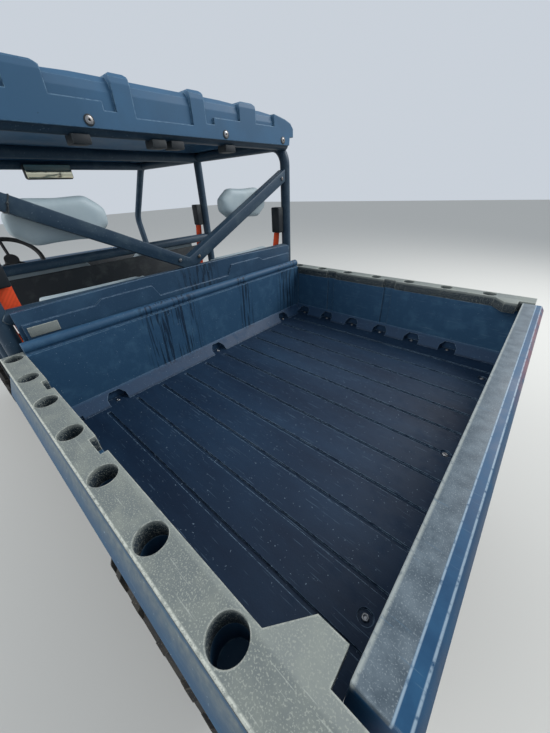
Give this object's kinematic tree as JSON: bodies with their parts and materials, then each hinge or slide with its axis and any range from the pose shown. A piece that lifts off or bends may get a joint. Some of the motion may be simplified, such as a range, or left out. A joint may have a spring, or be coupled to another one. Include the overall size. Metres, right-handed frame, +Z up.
{
  "type": "side by side utility vehicle",
  "caption": "Two-row utility side by side with a roll cage, moulded roof, bench seats, a tipping cargo bed with drop tailgate, and steered front wheels.",
  "frame": {"origin": "centre of the bounding box on the floor the wheels stand on", "axes": "+X forward, +Y left, +Z up"},
  "size_m": [3.7, 1.58, 1.908],
  "materials": {
    "frame_steel": "satin black powder coat",
    "cage_steel": "dark grey powder coat, dusty",
    "body_plastic": "weathered dark blue-black moulded plastic",
    "black_plastic": "textured black plastic",
    "roof_plastic": "slate blue-black moulded plastic, glossy",
    "bed_plastic": "dark navy-black moulded plastic, scuffed",
    "rail_plastic": "sun-bleached speckled grey plastic",
    "seat_vinyl": "sage grey seat cover",
    "webbing": "orange-red seat belt webbing",
    "tyre": "black rubber",
    "rim_steel": "matt black painted steel",
    "raw_steel": "zinc-plated steel",
    "cast": "cast housing",
    "alloy": "cast and finned aluminium",
    "lamp_lens": "clear lamp lens",
    "tail_lens": "red lamp lens",
    "mirror_glass": "mirror",
    "wheel_grip": "moulded grip"
  },
  "bodies": {
    "chassis": {"frame_rails": "frame_steel", "frame_crossmembers": "frame_steel", "frame_towers": "frame_steel", "skid_plate": "black_plastic", "cab_floor": "black_plastic", "seat_bases": "black_plastic", "seat_cushion_front": "seat_vinyl", "seat_back_front": "seat_vinyl", "seat_cushion_rear": "seat_vinyl", "seat_back_rear": "seat_vinyl", "headrest_left": "seat_vinyl", "headrest_right": "seat_vinyl", "rear_panel": "body_plastic", "cage_sides": "cage_steel", "cage_crossbars": "cage_steel", "rear_brace": "cage_steel", "roof": "roof_plastic", "mirror": "mirror_glass", "seat_belts": "webbing", "belt_retractors": "black_plastic", "dash": "black_plastic", "steering_column": "frame_steel", "pedals": "frame_steel", "front_fenders": "body_plastic", "grille": "black_plastic", "headlamps": "lamp_lens", "front_bumper": "frame_steel", "engine": "cast", "driveline": "cast", "muffler": "raw_steel", "radiator": "alloy", "suspension_arms": "frame_steel", "shock_absorbers": "raw_steel", "rear_knuckles": "cast"},
    "wheel_front_left": {"tyre_front_left": "tyre", "rim_front_left": "rim_steel"},
    "wheel_front_right": {"tyre_front_right": "tyre", "rim_front_right": "rim_steel"},
    "wheel_rear_left": {"tyre_rear_left": "tyre", "rim_rear_left": "rim_steel"},
    "wheel_rear_right": {"tyre_rear_right": "tyre", "rim_rear_right": "rim_steel"},
    "knuckle_left": {"knuckle_front_left": "cast"},
    "knuckle_right": {"knuckle_front_right": "cast"},
    "rack": {"steering_rack": "raw_steel"},
    "hand_wheel": {"steering_wheel": "wheel_grip"},
    "hood": {"hood": "body_plastic"},
    "bed": {"bed_tub": "bed_plastic", "bed_rails": "rail_plastic", "bed_frame": "frame_steel", "tail_lamps": "tail_lens"},
    "tailgate": {"tailgate": "bed_plastic", "tailgate_handle": "black_plastic"}
  },
  "joints": [
    {"name": "bed_tilt", "type": "hinge", "parent": "chassis", "child": "bed", "pos_m": [-1.69, 0, 0.792], "axis": [0, -1, 0], "range_deg": [0, 45]},
    {"name": "tailgate_drop", "type": "hinge", "parent": "bed", "child": "tailgate", "pos_m": [-1.765, 0, 0.888], "axis": [0, -1, 0], "range_deg": [0, 90]},
    {"name": "hood_lift", "type": "hinge", "parent": "chassis", "child": "hood", "pos_m": [1.262, 0, 1.141], "axis": [0, -1, 0], "range_deg": [0, 50]},
    {"name": "steer_left", "type": "hinge", "parent": "chassis", "child": "knuckle_left", "pos_m": [1.51, 0.62, 0.33], "axis": [0, 0, 1], "range_deg": [-30, 30]},
    {"name": "steer_right", "type": "hinge", "parent": "chassis", "child": "knuckle_right", "pos_m": [1.51, -0.62, 0.33], "axis": [0, 0, 1], "range_deg": [-30, 30]},
    {"name": "rack_travel", "type": "slide", "parent": "chassis", "child": "rack", "axis": [0, 1, 0], "range_m": [-0.05, 0.05]},
    {"name": "steering_wheel_turn", "type": "hinge", "parent": "chassis", "child": "hand_wheel", "pos_m": [0.8, 0.42, 1.25], "axis": [-0.7314, 0, 0.682], "range_deg": [-300, 300]},
    {"name": "spin_front_left", "type": "hinge", "parent": "knuckle_left", "child": "wheel_front_left", "pos_m": [1.51, 0.675, 0.33], "axis": [0, 1, 0], "continuous": true},
    {"name": "spin_front_right", "type": "hinge", "parent": "knuckle_right", "child": "wheel_front_right", "pos_m": [1.51, -0.675, 0.33], "axis": [0, 1, 0], "continuous": true},
    {"name": "spin_rear_left", "type": "hinge", "parent": "chassis", "child": "wheel_rear_left", "pos_m": [-1.23, 0.65, 0.33], "axis": [0, 1, 0], "continuous": true},
    {"name": "spin_rear_right", "type": "hinge", "parent": "chassis", "child": "wheel_rear_right", "pos_m": [-1.23, -0.65, 0.33], "axis": [0, 1, 0], "continuous": true}
  ],
  "couplings": [
    {"joint": "steer_right", "follows": "steer_left", "ratio": 1},
    {"joint": "rack_travel", "follows": "steer_left", "m_per_rad": -0.0859},
    {"joint": "steering_wheel_turn", "follows": "steer_left", "ratio": 10}
  ]
}
